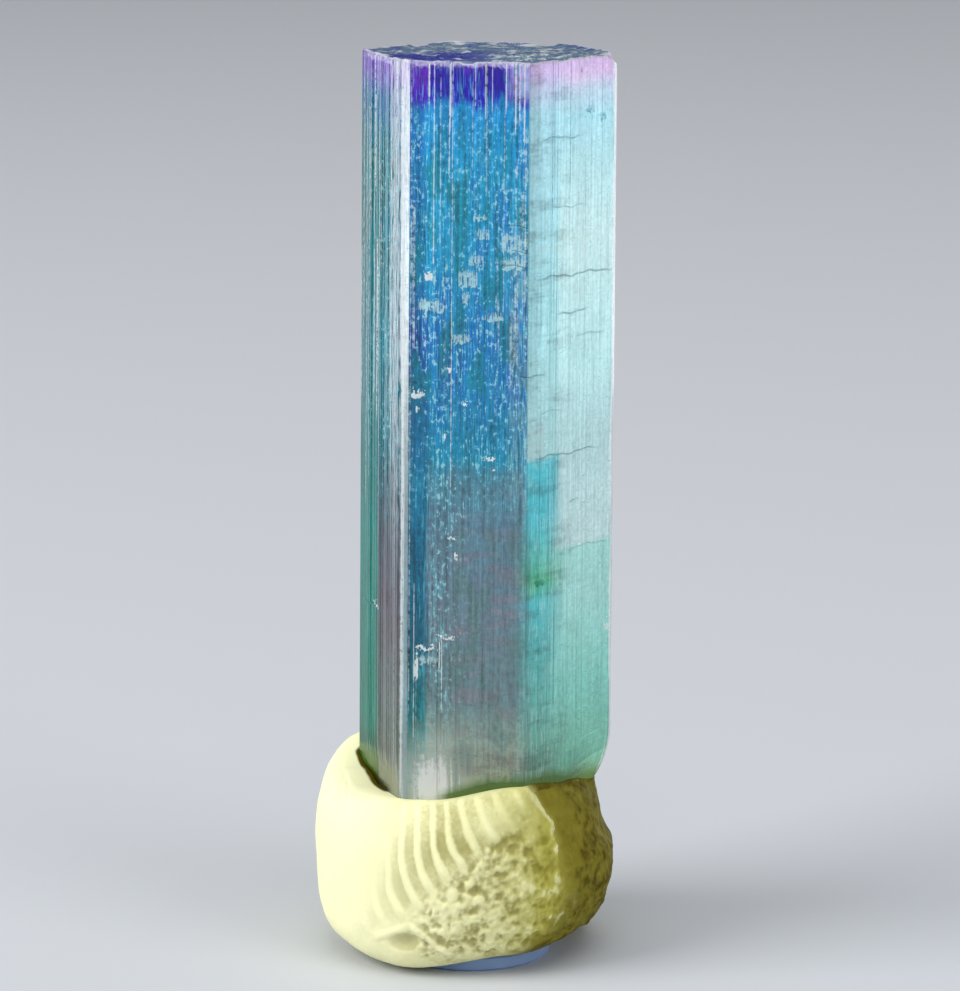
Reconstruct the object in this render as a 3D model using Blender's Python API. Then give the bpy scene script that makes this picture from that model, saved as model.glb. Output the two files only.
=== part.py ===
"""A tourmaline crystal held upright in a lump of display putty on a thin round disc.

Metres, +Z up. The origin is the centre of the disc's underside, and the front is -Y.
An azimuth is an angle in degrees round the vertical, 0 at the front and 90 at +X.
Heights in the crystal's functions are above its own foot, and elsewhere above the origin.
"""

import math
import random

import bpy

MM = 0.001

# The disc, and the gap that is kept between pieces that touch
DISC_RADIUS = 2.6 * MM
DISC_THICKNESS = 0.5 * MM
DISC_EDGE = 0.08 * MM
TOUCH_GAP = 0.2 * MM

# The crystal: a hexagonal prism with narrow faces along three of its edges
CRYSTAL_LENGTH = 24.9 * MM
CRYSTAL_FOOT = 4.9 * MM  # height of its lowest point
AXIS_X = 0.5 * MM  # where the axis of the crystal's foot and of the putty stands
AXIS_Y = 0.8 * MM
CRYSTAL_LEAN = 0.38  # degrees, its top towards +X
CRYSTAL_TAPER = 0.017  # share of its thickness that it loses from foot to top
FACE_AZIMUTH = -10.5  # of the first wide face; the others follow 60 degrees apart
FACE_DISTANCES = [d * MM for d in (3.70, 3.51, 3.75, 3.66, 3.76, 3.72)]  # from the axis
BEVEL_WIDTH = 0.38 * MM  # of the three narrow faces
WEAR_WIDTH = 0.07 * MM  # of the worn line on the other three edges
TOP_CHIP = 0.1 * MM  # size of the worn edge round the top
TOP_STEP = 0.05 * MM  # height of one growth step on the top
TOP_TREADS = [(0.83, 0.8), (0.6, 0.57), (0.35, 0.32)]  # each step's foot and head, as shares of the width
TOP_HILL = (0.7 * MM, -0.9 * MM)  # where the steps lead to, from the axis
TOP_DIP = 0.03 * MM  # unevenness of its rim

# Raised growth lines along the prism
LINES_PER_FACE = 4
LINE_RELIEF = 0.09 * MM
LINE_FLANK = 0.45  # degrees, from the foot of a line's side to its top
SEED = 11

# The putty lump
RIM_LIP = 0.1 * MM  # thickness of its edge against the crystal
LIP_SHARE = 0.1  # of the skirt's width that the slope round the disc takes up
RIDGE_PITCH = 0.5 * MM  # between the finger ridges pressed into its front
RIDGE_RELIEF = 0.05 * MM
PRESS_DEPTH = 0.34 * MM  # of the flat that a finger left at its upper right
PUTTY_LEVELS = 20

# Each list holds (azimuth, value in mm) stops, joined smoothly all the way round
FOOT_TALL = [(-160, 1.1), (-100, 1.2), (-40, 0.9), (20, 1.3), (80, 2.7), (140, 1.4)]
FOOT_DEEP = [(-160, 0.6), (-100, 0.7), (-40, 0.4), (20, 0.7), (80, 2.05), (140, 0.8)]
RIM_HEIGHT = [(-160, 6.4), (-115, 6.8), (-90, 6.0), (-70, 5.7), (-30, 5.8), (20, 6.4), (50, 6.1), (85, 5.75)]
GIRTH = [(-135, 5.35), (-90, 5.64), (-55, 5.55), (20, 4.7), (60, 4.35), (90, 4.2), (130, 4.5), (180, 4.9)]
GIRTH_HEIGHT = [(-90, 3.6), (0, 3.2), (60, 3.0), (90, 3.0), (180, 3.2)]
SKIRT_REACH = [(-80, 4.1), (-42, 3.95), (10, 3.5), (60, 3.2), (100, 3.2), (140, 3.9), (180, 4.1)]
SKIRT_HEIGHT = [(-130, 0.02), (-85, 0.45), (-42, 0.14), (10, 0.6), (70, 0.9), (125, 0.02)]

# The same for how full the lump's side is: 1 is an ellipse, and less is squarer
LOWER_FULLNESS = [(-90, 0.6), (-42, 0.75), (0, 0.95), (45, 1.15), (90, 1.1), (180, 0.8)]
UPPER_FULLNESS = [(-125, 0.6), (-80, 0.6), (-40, 0.8), (90, 0.82), (180, 0.8)]


def direction(azimuth):
    """The level unit vector of an azimuth."""
    turn = math.radians(azimuth)
    return math.sin(turn), -math.cos(turn)


def turn_between(first, second):
    """The signed angle from second to first, between -180 and 180 degrees."""
    return (first - second + 180) % 360 - 180


def smoothstep(low, high, value):
    """0 below low, 1 above high, and a smooth slope between them."""
    share = min(1.0, max(0.0, (value - low) / (high - low)))
    return share * share * (3 - 2 * share)


def round_trip(stops, azimuth):
    """A value that passes smoothly through a list of stops, all the way round."""
    start = stops[0][0]
    place = (azimuth - start) % 360 + start
    closed = [*stops, (start + 360, stops[0][1])]
    for (low, before), (high, after) in zip(closed, closed[1:]):
        if low <= place <= high:
            return before + (after - before) * smoothstep(low, high, place)
    return stops[0][1]


def length(stops, azimuth):
    """The same in metres, for stops in millimetres."""
    return round_trip(stops, azimuth) * MM


def spaced(azimuths, least=0.15):
    """The azimuths in order round the axis, without any that crowd the one before."""
    kept = []
    for azimuth in sorted(turn_between(a, 0) for a in azimuths):
        if not kept or azimuth - kept[-1] > least:
            kept.append(azimuth)
    return kept


def skin(name, rings, low_point, high_point):
    """One closed mesh through rings of points, each end closed by a fan."""
    count = len(rings[0])
    points = [point for ring in rings for point in ring] + [low_point, high_point]
    low, high = len(points) - 2, len(points) - 1
    faces = []
    for level in range(len(rings) - 1):
        for step in range(count):
            ahead = (step + 1) % count
            a, b = level * count + step, level * count + ahead
            faces.append((a, b, b + count, a + count))
    last = (len(rings) - 1) * count
    for step in range(count):
        ahead = (step + 1) % count
        faces.append((low, ahead, step))
        faces.append((last + step, last + ahead, high))
    mesh = bpy.data.meshes.new(name)
    mesh.from_pydata(points, [], faces)
    mesh.update()
    return mesh


def finish(name, colour, roughness, see_through=0.0):
    """A material of one colour. see_through is the share of light that it lets in."""
    material = bpy.data.materials.new(name)
    material.use_nodes = True
    shader = material.node_tree.nodes["Principled BSDF"]
    shader.inputs["Base Color"].default_value = (*colour, 1.0)
    shader.inputs["Roughness"].default_value = roughness
    shader.inputs["Metallic"].default_value = 0.0
    shader.inputs["Transmission Weight"].default_value = see_through
    return material


def put(name, mesh, material, parent, location=(0, 0, 0), sharp_angle=30):
    """One named object on its parent."""
    mesh.materials.append(material)
    mesh.shade_smooth()
    mesh.set_sharp_from_angle(angle=math.radians(sharp_angle))
    piece = bpy.data.objects.new(name, mesh)
    bpy.context.scene.collection.objects.link(piece)
    piece.parent = parent
    piece.location = location
    return piece


# ---- crystal ----


def side_planes():
    """(azimuth, distance from the axis) of the six wide faces and the planes that cut their edges."""
    planes = []
    for k, near in enumerate(FACE_DISTANCES):
        azimuth = FACE_AZIMUTH + 60 * k
        following = FACE_DISTANCES[(k + 1) % 6]
        corner = (near + following) / (2 * math.cos(math.radians(30)))
        width = WEAR_WIDTH if k % 2 == 0 else BEVEL_WIDTH
        planes.append((azimuth, near))
        planes.append((azimuth + 30, corner - width / 2 * math.tan(math.radians(30))))
    return planes


def outline_radius(planes, azimuth):
    """From the axis to the nearest plane."""
    reach = 1.0
    for facing, distance in planes:
        away = turn_between(azimuth, facing)
        if abs(away) < 60:
            reach = min(reach, distance / math.cos(math.radians(away)))
    return reach


def outline_corners(planes):
    """The azimuths at which neighbouring planes meet."""
    corners = []
    for (first, near), (second, far) in zip(planes, planes[1:] + planes[:1]):
        opening = math.radians(turn_between(second, first))
        along = (far - near * math.cos(opening)) / math.sin(opening)
        corners.append(first + math.degrees(math.atan2(along, near)))
    return corners


def foot_inset(azimuth, height):
    """How far the broken and rounded foot stands back from the prism's side."""
    tall, deep = length(FOOT_TALL, azimuth), length(FOOT_DEEP, azimuth)
    drop = min(1.0, max(0.0, 1 - height / tall))
    return deep * (1 - math.sqrt(1 - drop * drop))


def prism_radius(planes, azimuth, height):
    """From the axis to the crystal's side, growth lines apart."""
    width = 1 - CRYSTAL_TAPER * height / CRYSTAL_LENGTH
    return outline_radius(planes, azimuth) * width - foot_inset(azimuth, height)


def growth_lines():
    """(azimuth, half width in degrees, relief, lowest and highest height) of each raised line."""
    chance = random.Random(SEED)
    lines = []
    for k in range(6):
        for slot in range(LINES_PER_FACE):
            place = 46 * ((slot + 0.5) / LINES_PER_FACE - 0.5) + chance.uniform(-2.5, 2.5)
            low = chance.choice([-1, 0.25, 0.45]) * CRYSTAL_LENGTH
            high = chance.choice([0.6, 0.8, 2]) * CRYSTAL_LENGTH
            half = chance.uniform(1, 2.4)
            relief = LINE_RELIEF * chance.uniform(0.5, 1)
            lines.append((FACE_AZIMUTH + 60 * k + place, half, relief, low, high))
    return lines


def line_relief(lines, azimuth, height):
    """How far the growth lines raise a place on the crystal's side."""
    raised = 0.0
    for middle, half, relief, low, high in lines:
        inside = half + LINE_FLANK - abs(turn_between(azimuth, middle))
        if inside > 0 and low <= height <= high:
            raised = max(raised, relief * min(1.0, inside / LINE_FLANK))
    return raised


def section_azimuths(planes, lines):
    """Where the crystal's outline bends: its corners and both sides of each growth line."""
    found = outline_corners(planes)
    for middle, half, *_ in lines:
        for side in (-1, 1):
            found.append(middle + side * half)
            found.append(middle + side * (half + LINE_FLANK))
    return spaced(found)


def top_ring(rim, share, tread):
    """The rim drawn in to a share of its width towards the hill, on one of the top's steps."""
    ring = []
    for x, y, _ in rim:
        dip = TOP_DIP * (1 + math.sin(x / (1.1 * MM)) * math.cos(y / (1.4 * MM))) * share
        height = CRYSTAL_LENGTH - TOP_STEP * (len(TOP_TREADS) - tread) - dip
        ring.append((x * share + TOP_HILL[0] * (1 - share), y * share + TOP_HILL[1] * (1 - share), height))
    return ring


def top_rings(rim):
    """The worn edge and the steps of the top."""
    rings = [[(x, y, z - TOP_CHIP) for x, y, z in top_ring(rim, 1, 0)], top_ring(rim, 0.975, 0)]
    for tread, (foot, head) in enumerate(TOP_TREADS):
        rings.append(top_ring(rim, foot, tread))
        rings.append(top_ring(rim, head, tread + 1))
    return rings


def crystal_mesh(planes):
    lines = growth_lines()
    azimuths = section_azimuths(planes, lines)

    def at(azimuth, height, share=1.0):
        reach = (prism_radius(planes, azimuth, height) + line_relief(lines, azimuth, height)) * share
        x, y = direction(azimuth)
        return x * reach, y * reach, height

    rings = [[at(a, 0, share) for a in azimuths] for share in (0.5, 1)]
    for tilt in (20, 38, 56, 73, 90):
        climb = 1 - math.cos(math.radians(tilt))
        rings.append([at(a, length(FOOT_TALL, a) * climb) for a in azimuths])
    for share in (0.24, 0.26, 0.44, 0.46, 0.59, 0.61, 0.79, 0.81):
        rings.append([at(a, CRYSTAL_LENGTH * share) for a in azimuths])
    rings += top_rings([at(a, CRYSTAL_LENGTH) for a in azimuths])
    return skin("crystal", rings, (0, 0, 0), (*TOP_HILL, CRYSTAL_LENGTH))


# ---- putty ----


def finger_ridges(azimuth, height):
    """Plain arcs on the front, upright at the rim and swept to +X lower down."""
    across = math.radians(azimuth) * length(GIRTH, azimuth)
    drop = max(0.0, 5.2 * MM - height)
    phase = 2 * math.pi * (across - 0.06 * drop * drop / MM) / RIDGE_PITCH
    fade = smoothstep(-62, -50, azimuth) * (1 - smoothstep(2, 14, azimuth))
    fade *= smoothstep(1.2 * MM, 2.2 * MM, height)
    return RIDGE_RELIEF * math.cos(phase) * fade


def pressed_flat(azimuth, height):
    """How far the pressed side stands back, above the bulge at its foot."""
    across = smoothstep(14, 34, azimuth) * (1 - smoothstep(95, 140, azimuth))
    return PRESS_DEPTH * across * smoothstep(3.5 * MM, 4.5 * MM, height)


def lump_point(planes, azimuth, tilt):
    """(reach, height) up the lump's side: tilt is -90 at the skirt, 0 at the girth and 90 at the rim."""
    girth, middle = length(GIRTH, azimuth), length(GIRTH_HEIGHT, azimuth)
    turn = math.radians(abs(tilt))
    if tilt < 0:
        end_reach, end_height = length(SKIRT_REACH, azimuth), length(SKIRT_HEIGHT, azimuth)
    else:
        end_height = length(RIM_HEIGHT, azimuth)
        end_reach = prism_radius(planes, azimuth, end_height - CRYSTAL_FOOT) + TOUCH_GAP + RIM_LIP
    full = round_trip(LOWER_FULLNESS if tilt < 0 else UPPER_FULLNESS, azimuth)
    reach = end_reach + (girth - end_reach) * abs(math.cos(turn)) ** full
    height = middle + (end_height - middle) * math.sin(turn) ** full
    if tilt > 0:
        reach = max(reach - pressed_flat(azimuth, height), end_reach)
    return reach + finger_ridges(azimuth, height), height


def putty_azimuths(planes):
    """Close together over the finger ridges, and at the crystal's corners."""
    fine = [-62 + 1.6 * step for step in range(46)]
    coarse = [fine[-1] + (360 - 72) / 34 * step for step in range(1, 34)]
    return spaced(fine + coarse + outline_corners(planes), least=0.5)


def putty_mesh(planes):
    azimuths = putty_azimuths(planes)
    flat = DISC_THICKNESS + TOUCH_GAP

    def at(azimuth, reach, height):
        x, y = direction(azimuth)
        return AXIS_X + x * reach, AXIS_Y + y * reach, height

    def socket(azimuth, share):
        """A point on the socket's wall: share is 1 at the rim and 0 level with the crystal's foot."""
        above = (length(RIM_HEIGHT, azimuth) - CRYSTAL_FOOT) * share
        reach = prism_radius(planes, azimuth, above) + TOUCH_GAP
        return at(azimuth, reach, CRYSTAL_FOOT + above - TOUCH_GAP * (1 - share))

    def hollow(azimuth, share):
        """A point over the disc: share is 0 at its centre and 1 just clear of its rim."""
        x, y = direction(azimuth)
        reach = (DISC_RADIUS + TOUCH_GAP) * share
        return x * reach, y * reach, flat

    def hollow_lip(azimuth):
        """Where the hollow's wall meets the skirt's underside."""
        (x, y, _), (end_x, end_y, low) = hollow(azimuth, 1), at(azimuth, *lump_point(planes, azimuth, -90))
        return x + (end_x - x) * LIP_SHARE, y + (end_y - y) * LIP_SHARE, min(flat, low)

    rings = [[hollow(a, share) for a in azimuths] for share in (0.5, 1)]
    rings.append([hollow_lip(a) for a in azimuths])
    for step in range(PUTTY_LEVELS + 1):
        tilt = -90 + 180 * step / PUTTY_LEVELS
        rings.append([at(a, *lump_point(planes, a, tilt)) for a in azimuths])
    for share in (1, 0.66, 0.33, 0):
        rings.append([socket(a, share) for a in azimuths])
    floor = CRYSTAL_FOOT - TOUCH_GAP
    rings.append([at(a, 1.2 * MM, floor) for a in azimuths])
    return skin("putty", rings, (0, 0, flat), (AXIS_X, AXIS_Y, floor))


# ---- disc ----


def disc_mesh():
    """A thin round disc with a small bevel on both rims."""
    rings = []
    levels = [(DISC_EDGE, 0), (0, DISC_EDGE), (0, DISC_THICKNESS - DISC_EDGE), (DISC_EDGE, DISC_THICKNESS)]
    for inset, height in levels:
        ring = []
        for step in range(60):
            x, y = direction(6 * step)
            reach = DISC_RADIUS - inset
            ring.append((x * reach, y * reach, height))
        rings.append(ring)
    return skin("base_disc", rings, (0, 0, 0), (0, 0, DISC_THICKNESS))


def main():
    for old in list(bpy.data.objects):
        bpy.data.objects.remove(old)
    specimen = bpy.data.objects.new("specimen", None)
    bpy.context.scene.collection.objects.link(specimen)
    planes = side_planes()

    clear = finish("clear_disc", (0.72, 0.76, 0.84), 0.2, see_through=0.8)
    cream = finish("cream_putty", (0.82, 0.78, 0.48), 0.6)
    teal = finish("teal_crystal", (0.22, 0.6, 0.68), 0.15, see_through=0.6)

    put("base_disc", disc_mesh(), clear, specimen)
    put("putty", putty_mesh(planes), cream, specimen, sharp_angle=60)
    place = (AXIS_X, AXIS_Y, CRYSTAL_FOOT)
    crystal = put("crystal", crystal_mesh(planes), teal, specimen, place, sharp_angle=8)
    crystal.rotation_euler = (0, math.radians(CRYSTAL_LEAN), 0)


main()
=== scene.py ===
import math
import random
from functools import reduce

import bpy
import numpy as np
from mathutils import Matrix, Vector, noise


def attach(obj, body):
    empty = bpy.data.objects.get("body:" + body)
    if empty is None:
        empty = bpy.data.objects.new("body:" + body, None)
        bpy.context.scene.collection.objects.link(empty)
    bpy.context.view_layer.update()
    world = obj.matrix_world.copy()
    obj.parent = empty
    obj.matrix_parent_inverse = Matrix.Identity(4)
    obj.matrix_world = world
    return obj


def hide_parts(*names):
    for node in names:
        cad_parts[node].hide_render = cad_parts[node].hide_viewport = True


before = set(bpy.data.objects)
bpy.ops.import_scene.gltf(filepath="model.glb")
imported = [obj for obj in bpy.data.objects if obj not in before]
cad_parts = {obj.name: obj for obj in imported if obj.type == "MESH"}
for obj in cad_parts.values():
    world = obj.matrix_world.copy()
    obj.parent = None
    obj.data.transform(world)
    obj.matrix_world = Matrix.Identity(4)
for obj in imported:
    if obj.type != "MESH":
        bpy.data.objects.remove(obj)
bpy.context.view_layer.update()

scene = bpy.context.scene
mm = 0.001  # every size below is in millimetres

# The axis that the crystal's foot and the putty share, and the height of that foot
axisX = 0.5
axisY = 0.8
crystalFoot = 4.9


def smooth(low, high, value):
    share = np.clip((np.asarray(value, float) - low) / (high - low), 0, 1)
    return share * share * (3 - 2 * share)


def between(start, full, fading, end, value):  # 1 from full to fading, 0 before start and after end
    return smooth(start, full, value) * (1 - smooth(fading, end, value))


def turnBetween(first, second):  # signed degrees from second to first
    return (np.asarray(first, float) - second + 180) % 360 - 180


def roundTrip(stops, azimuth):  # passes smoothly through (azimuth, value) stops, all the way round
    start = stops[0][0]
    place = (np.asarray(azimuth, float) - start) % 360 + start
    closed = [*stops, (start + 360, stops[0][1])]
    value = np.full(place.shape, float(stops[0][1]))
    for (low, before), (high, after) in zip(closed, closed[1:]):
        inside = (place >= low) & (place <= high)
        value = np.where(inside, before + (after - before) * smooth(low, high, place), value)
    return value


def grain(points, size, octaves=3, seed=0):  # soft noise at each point, about -1 to 1
    shift = Vector((seed * 7.31, seed * 3.77, seed * 5.13))
    flat = points.reshape(-1, 3)
    values = [noise.fractal(Vector(point) / size + shift, 0.9, 2.1, octaves) for point in flat]
    return np.array(values).reshape(points.shape[:-1])


def outwards(azimuths):  # a step of 1 away from the axis
    turn = np.radians(azimuths)
    return np.stack([np.sin(turn), -np.cos(turn)], 1)


def ring(points, height):  # points seen from above, at one height or one each
    return np.column_stack([points, np.broadcast_to(height, len(points))])


def skin(name, rings, lowPoint, highPoint):  # one closed mesh through rings of points, lowest first
    rings = np.asarray(rings, float)
    levels, count, _ = rings.shape
    points = np.vstack([rings.reshape(-1, 3), [lowPoint, highPoint]]) * mm
    pairs = [(a, (a + 1) % count) for a in range(count)]
    last, end = (levels - 1) * count, levels * count
    faces = [(k + a, k + b, k + b + count, k + a + count) for k in range(0, last, count) for a, b in pairs]
    faces += [(end, b, a) for a, b in pairs] + [(last + a, last + b, end + 1) for a, b in pairs]
    mesh = bpy.data.meshes.new(name)
    mesh.from_pydata(points.tolist(), [], faces)
    mesh.update()
    return mesh


def mark(mesh, name, values, last=0):  # a value on each point, which the material looks up
    attribute = mesh.attributes.new(name, "FLOAT", "POINT")
    attribute.data.foreach_set("value", [*values.ravel(), 0, last])


def addObject(name, data):
    made = bpy.data.objects.new(name, data)
    scene.collection.objects.link(made)
    return made


def addPiece(name, mesh, material, sharpAngle):
    mesh.materials.append(material)
    mesh.shade_smooth()
    mesh.set_sharp_from_angle(angle=math.radians(sharpAngle))
    piece = addObject(name, mesh)
    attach(piece, "root")
    return piece


class Value:  # what a node gives, which adds and multiplies like a number
    def __init__(self, look, socket):
        self.look, self.socket = look, socket

    def __add__(self, other):
        return self.look.math("ADD", self, other)

    def __sub__(self, other):
        return self.look.math("SUBTRACT", self, other)

    def __rsub__(self, other):
        return self.look.math("SUBTRACT", other, self)

    def __mul__(self, other):
        return self.look.math("MULTIPLY", self, other)

    def __abs__(self):
        return self.look.math("ABSOLUTE", self)


class Shading:  # a material and short names for the nodes that it is made of
    def __init__(self, name, tints=None):
        self.tints = tints
        self.material = bpy.data.materials.new(name)
        self.material.use_nodes = True
        self.tree = self.material.node_tree
        self.shader = self.tree.nodes["Principled BSDF"]
        self.place = self.vector("SCALE", self.node("TexCoord").outputs["Object"], Scale=1 / mm)
        self.x, self.y, self.z = self.split(self.place)

    def node(self, kind, **settings):
        made = self.tree.nodes.new("ShaderNode" + kind)
        for key, value in settings.items():
            setattr(made, key, value)
        return made

    def put(self, socket, value):  # a link, or a plain number or colour
        if isinstance(value, Value):
            value = value.socket
        if isinstance(value, bpy.types.NodeSocket):
            self.tree.links.new(value, socket)
        else:
            socket.default_value = value

    def fill(self, node, *values, **named):  # into a node's first sockets or into named ones
        for socket, value in zip(node.inputs, values):
            self.put(socket, value)
        for name, value in named.items():
            self.put(node.inputs[name.replace("_", " ")], value)
        return node.outputs[0]

    def set(self, **values):  # for the shader, by socket name
        self.fill(self.shader, **values)

    def math(self, kind, *values, clamp=False):
        return Value(self, self.fill(self.node("Math", operation=kind, use_clamp=clamp), *values))

    def vector(self, kind, *values, **named):
        return self.fill(self.node("VectorMath", operation=kind), *values, **named)

    def join(self, x, y, z):
        return self.fill(self.node("CombineXYZ"), x, y, z)

    def split(self, vector):
        made = self.node("SeparateXYZ")
        self.put(made.inputs[0], vector)
        return [Value(self, socket) for socket in made.outputs]

    def marked(self, name):  # a value that the mesh carries
        return Value(self, self.node("Attribute", attribute_name=name).outputs["Fac"])

    def blend(self, share, first, second, mode="MIX"):
        made = self.node("Mix", data_type="RGBA", blend_type=mode)
        for place, value in zip((0, 6, 7), (share, first, second)):
            self.put(made.inputs[place], value)
        return made.outputs[2]

    def slope(self, value, low, high, soft=True):  # 0 below low and 1 above high
        made = self.node("MapRange", interpolation_type="SMOOTHSTEP" if soft else "LINEAR")
        return Value(self, self.fill(made, value, low, high, 0, 1))

    def band(self, value, low, high, edge):  # 1 between low and high, with soft edges
        return self.slope(value, low - edge, low + edge) * self.slope(value, high + edge, high - edge)

    def border(self, value, place, softness):  # 0 before place and 1 after it
        return self.slope(self.math("DIVIDE", value - place, softness), -1, 1)

    def nearest(self, place, marks, square=False):  # 1 at the edge of the nearest mark, 0 in its middle
        sizes = []
        for x, y, halfX, halfY in marks:
            scale, shift = (1 / halfX, 1 / halfY, 0), (-x / halfX, -y / halfY, 0)
            away = self.vector("MULTIPLY_ADD", place, scale, shift)
            if square:
                away = self.vector("MULTIPLY", away, away)
            size = self.node("VectorMath", operation="LENGTH")
            self.put(size.inputs[0], away)
            sizes.append(Value(self, size.outputs["Value"]))
        return reduce(lambda first, second: self.math("MINIMUM", first, second), sizes)

    def either(self, *masks):
        return reduce(lambda first, second: self.math("MAXIMUM", first, second), masks)

    def tint(self, colour, **shares):  # lays named tints over a colour, in this order
        for name, share in shares.items():
            colour = self.blend(share, colour, linear(self.tints[name]))
        return colour

    def colours(self, value, stops):  # a colour that follows (value, red, green, blue) stops
        made = self.node("ValToRGB")
        low, high = stops[0][0], stops[-1][0]
        elements = made.color_ramp.elements
        while len(elements) < len(stops):
            elements.new(0.5)
        for element, (place, *colour) in zip(elements, stops):
            element.position = (place - low) / (high - low)
            element.color = linear(colour)
        return self.fill(made, self.slope(value, low, high, soft=False))

    def steps(self, value, stops):  # a plain number that follows (value, number) stops
        made = self.node("FloatCurve")
        low, high = stops[0][0], stops[-1][0]
        least, most = min(n for _, n in stops), max(n for _, n in stops)
        curve = made.mapping.curves[0]
        while len(curve.points) < len(stops):
            curve.points.new(0.5, 0.5)
        for point, (place, number) in zip(curve.points, stops):
            point.location = ((place - low) / (high - low), (number - least) / (most - least))
        made.mapping.update()
        level = self.fill(made, Value=self.slope(value, low, high, soft=False))
        return Value(self, level) * (most - least) + least

    def noise(self, vector, scale, detail=2, roughness=0.5, flat=False):
        made = self.node("TexNoise", noise_dimensions="2D" if flat else "3D")
        return Value(self, self.fill(made, Vector=vector, Scale=scale, Detail=detail, Roughness=roughness))

    def bump(self, height, strength, distance):  # distance in millimetres
        return self.fill(self.node("Bump"), Strength=strength, Distance=distance * mm, Height=height)


def linear(colour):  # a screen colour of 0 to 255 as linear light, with full cover
    return *(((c / 255 + 0.055) / 1.055) ** 2.4 if c > 10 else c / 255 / 12.92 for c in colour), 1


# The crystal's body: a six-sided prism with narrow faces along three of its edges
crystal = dict(
    length=24.9,
    lean=0.38,  # degrees, its top towards +X
    taper=0.017,
    firstFace=-10.5,  # azimuth of the wide face nearest the front
    faceDistances=(3.70, 3.51, 3.75, 3.66, 3.76, 3.72),
    narrowFace=0.38,
    wornEdge=0.07,
    footTall=[(-160, 1.1), (-100, 1.2), (-40, 0.9), (20, 1.3), (80, 2.7), (140, 1.4)],
    footDeep=[(-160, 0.6), (-100, 0.7), (-40, 0.4), (20, 0.7), (80, 2.05), (140, 0.8)],
    levelHeight=0.33,
    thinStrip=(0.03, 0.08),  # widths of the strips between growth lines
    wideStrip=(0.1, 0.3),
    stepRise=(0.004, 0.018),
    faceRelief=(1, 0.4, 0.9, 0.8, 1, 1.2),  # share of the rise on each wide face
    stripDrift=0.012,  # how far a strip's own level changes along the prism
    pits=60,
    # Growth layers that end part way up: azimuths between, height of the end, thickness
    ledges=[(-34.6, -24.6, 5.8, 0.03), (-24.6, -15.6, 6.33, 0.02), (-13.6, 1, 3.75, 0.012)],
    # Cracks across the prism: height, azimuths between, depth
    cracks=[
        (17.9, 17.5, 82, 0.022), (18.8, 10, 17.5, 0.03), (18.33, 4, 17.5, 0.03), (19.6, 4, 17.2, 0.025),
        (14.85, 12, 28, 0.035), (12.15, 18, 72, 0.03), (10.58, 47, 55, 0.03), (16.7, 36, 62, 0.02),
        (9, 45, 81, 0.02), (6.75, -97, -79, 0.03), (22.3, 24, 56, 0.015), (20.1, 30, 60, 0.012),
        (15.9, 50, 75, 0.012), (13.6, 24, 40, 0.015), (7.6, 35, 70, 0.01), (9.2, 150, 190, 0.02),
        (16.2, 110, 135, 0.02), (13.1, 205, 240, 0.02), (21.4, 170, 195, 0.015),
    ],
    crackWaves=((0.035, 0.23, 0), (0.02, 0.61, 1)),  # size, turns and start of what bends each crack
    # Single lines up the prism: azimuth, half width in degrees, heights between, and how pale they are,
    # or how dark where it is below 0. The pale ones are painted glints
    lines=[
        (-30, 0.7, 23.6, 24.6, 1), (-27.7, 0.5, 18.5, 24.3, 0.8), (-24.6, 0.4, 19, 24.2, 0.6),
        (-20.1, 0.8, 22.9, 24.7, 1), (-20.6, 0.5, 21.4, 23.2, 0.8), (-19, 0.4, 11, 24.3, 0.7),
        (-9, 0.4, 21.5, 24, 0.5), (-7.7, 0.4, 23.5, 24.5, 0.8), (-2.7, 0.5, 23.2, 24.5, 0.9),
        (0.5, 0.4, 23.3, 24.4, 0.8), (7, 0.6, 23.4, 24.5, 1), (6.4, 0.4, 17, 23, 0.5),
        (11.2, 0.6, 22.7, 24.6, 0.9), (12.9, 0.6, 23, 24.5, 0.8), (14.9, 0.6, 22.4, 24.6, 1),
        (15.6, 0.5, 17, 22, 0.6), (-37.6, 0.4, 4, 24.4, 0.5), (-35.6, 0.4, 3, 8, 0.7),
        (-22.6, 0.4, 4, 6.2, 0.8), (-34.4, 0.3, 2, 5.8, 0.6), (-41.9, 1.2, 0.8, 18.5, 1),
        (-48, 0.5, 2, 24, 0.7), (-51, 0.4, 8, 24.5, 0.6), (-55, 0.5, 12, 24.5, 0.7),
        (-62, 0.7, 11, 24.6, 0.8), (-66, 0.6, 13, 24, 0.5), (-71.5, 0.8, 9, 24.6, 0.6),
        (-80, 0.9, 14, 24.4, 0.6), (-88, 0.9, 11, 23, 0.5), (-76, 0.6, 12, 24.6, 0.7),
        (-93, 0.9, 10, 24, 0.6), (-97, 0.8, 16, 24.6, 0.6), (17.3, 0.5, 6, 24.6, -0.9),
        (31.4, 0.5, 3, 24.3, -0.5), (35.7, 0.6, 4, 24.5, -0.9), (33.8, 0.4, 14, 24, -0.4),
        (25, 0.4, 10, 23, -0.3), (46.8, 0.4, 6, 18, -0.4), (52.6, 0.4, 7, 19, -0.35),
        (59, 0.4, 2, 9, -0.4), (66, 0.4, 12, 22, -0.25),
    ],
    glint=((15.5, 24), (0.5, 3.5), (0.2, 0.7)),  # height of its middle, half length, how pale
    frontGlint=0.6,  # the front face's share of it
    blend=(0.5, 2.75),  # heights between which the rings turn level
    seed=5,
)


def sidePlanes():  # (azimuth, distance) of the wide faces and of the planes that cut their edges
    planes = []
    distances = crystal["faceDistances"]
    for k, near in enumerate(distances):
        azimuth = crystal["firstFace"] + 60 * k
        corner = (near + distances[(k + 1) % 6]) / (2 * math.cos(math.radians(30)))
        width = crystal["wornEdge"] if k % 2 == 0 else crystal["narrowFace"]
        planes.append((azimuth, near))
        planes.append((azimuth + 30, corner - width / 2 * math.tan(math.radians(30))))
    return planes


sides = sidePlanes()


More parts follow.
